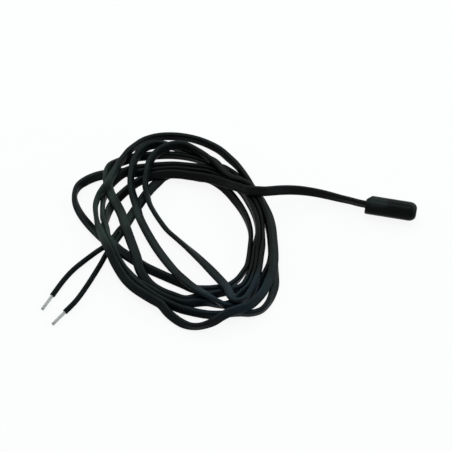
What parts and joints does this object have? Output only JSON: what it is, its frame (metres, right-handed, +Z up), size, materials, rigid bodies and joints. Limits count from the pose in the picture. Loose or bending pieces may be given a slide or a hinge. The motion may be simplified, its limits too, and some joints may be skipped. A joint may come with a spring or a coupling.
{
  "type": "temperature probe",
  "caption": "Cylindrical moulded sensor head on a flat twin cable that lies in a loose coil and ends in separate leads with bare tips.",
  "frame": {"origin": "on the resting surface, under the middle of the moulded head", "axes": "+X along the head's axis towards its closed tip, +Z up from the surface, +Y across the head"},
  "size_m": [0.1191, 0.08, 0.0105],
  "materials": {
    "moulding": "satin black moulded plastic, faintly glossy",
    "jacket": "soft black cable jacket with a low sheen",
    "conductor": "tinned stranded copper, bright and slightly warm",
    "solder": "tin-grey solder and tinned wire",
    "sleeve": "milky insulating sleeve",
    "resin": "glossy black resin drop"
  },
  "bodies": {
    "root": {"head_shell": "moulding", "cable_in_head": "jacket", "conductor_a": "conductor", "conductor_b": "conductor", "splice_a": "solder", "splice_b": "solder", "sleeve_a": "sleeve", "sleeve_b": "sleeve", "sensor_leg_a": "solder", "sensor_leg_b": "solder", "sensor_bead": "resin", "cable_run": "jacket", "cable_coil": "jacket", "lead_a": "jacket", "lead_b": "jacket", "wire_tip_a": "conductor", "wire_tip_b": "conductor"}
  },
  "joints": []
}
